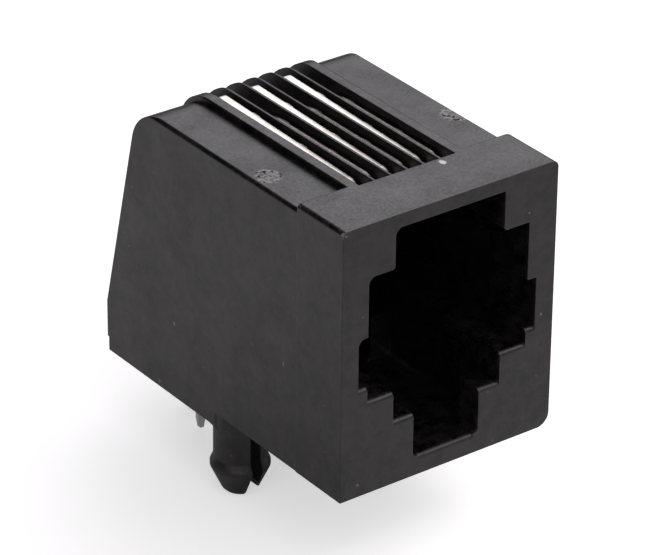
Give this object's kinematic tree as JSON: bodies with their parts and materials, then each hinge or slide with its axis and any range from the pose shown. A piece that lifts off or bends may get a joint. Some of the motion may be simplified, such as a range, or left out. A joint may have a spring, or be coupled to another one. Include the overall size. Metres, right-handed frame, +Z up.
{
  "type": "modular board jack",
  "caption": "Side entry modular jack for a printed board, with a stepped plug port, a slotted contact comb on top and split snap pegs below.",
  "frame": {"origin": "on the surface of the printed board, midway between the two locating pegs", "axes": "+Z up from the board, -Y out of the plug port, +X to the right as seen when looking into the port"},
  "size_m": [0.0134, 0.0208, 0.0202],
  "materials": {
    "housing": "satin moulded, black",
    "contact": "tin plated"
  },
  "bodies": {
    "root": {"housing": "housing", "contact_1": "contact", "contact_2": "contact", "contact_3": "contact", "contact_4": "contact", "contact_5": "contact", "contact_6": "contact"}
  },
  "joints": []
}
